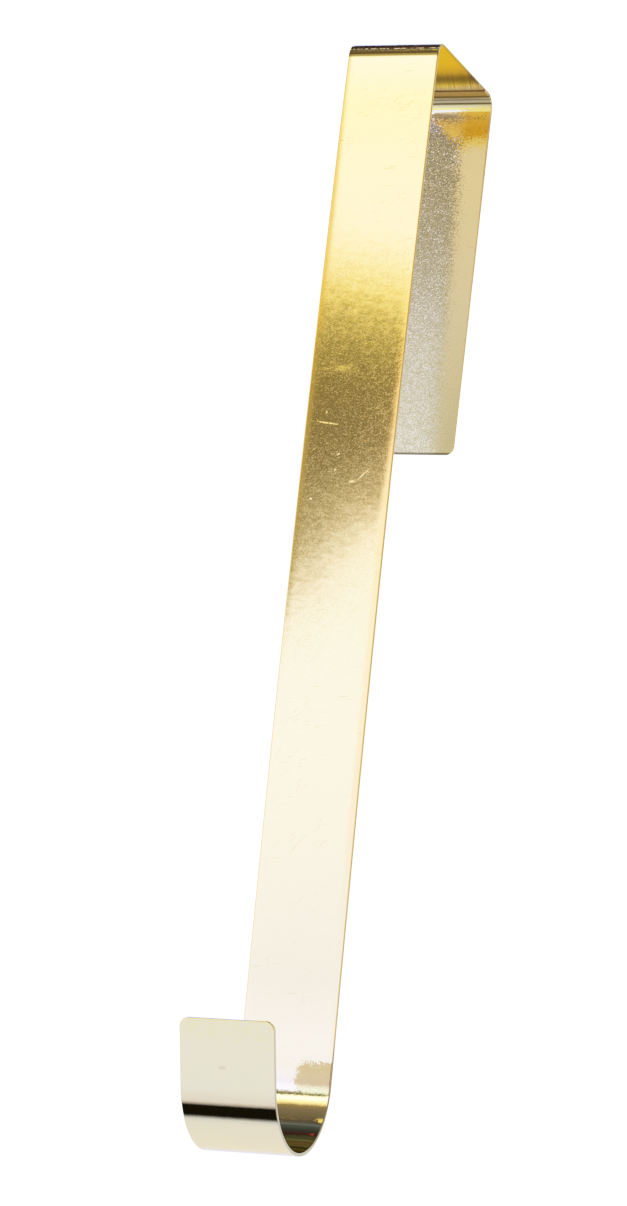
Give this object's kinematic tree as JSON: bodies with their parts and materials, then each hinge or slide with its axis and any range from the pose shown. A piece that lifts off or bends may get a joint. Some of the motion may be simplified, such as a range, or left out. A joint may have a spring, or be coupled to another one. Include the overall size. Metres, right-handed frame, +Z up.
{
  "type": "over-door wreath hanger",
  "caption": "Flat gold-plated strap bent to sit over a door's top edge, with a short rear arm, a long front arm and an upturned J hook with a flared lip for hanging a wreath.",
  "frame": {"origin": "centre of the bridge's flat underside, where the door's top edge bears", "axes": "+X across the strap's width, +Y to the back of the door, +Z up; the hook opens upwards and its lip stands to -Y"},
  "size_m": [0.0254, 0.0914, 0.3014],
  "materials": {
    "gold_plate": "bright gold-tone plating on polished steel strap, lightly scratched"
  },
  "bodies": {
    "root": {"hanger_strap": "gold_plate"}
  },
  "joints": []
}
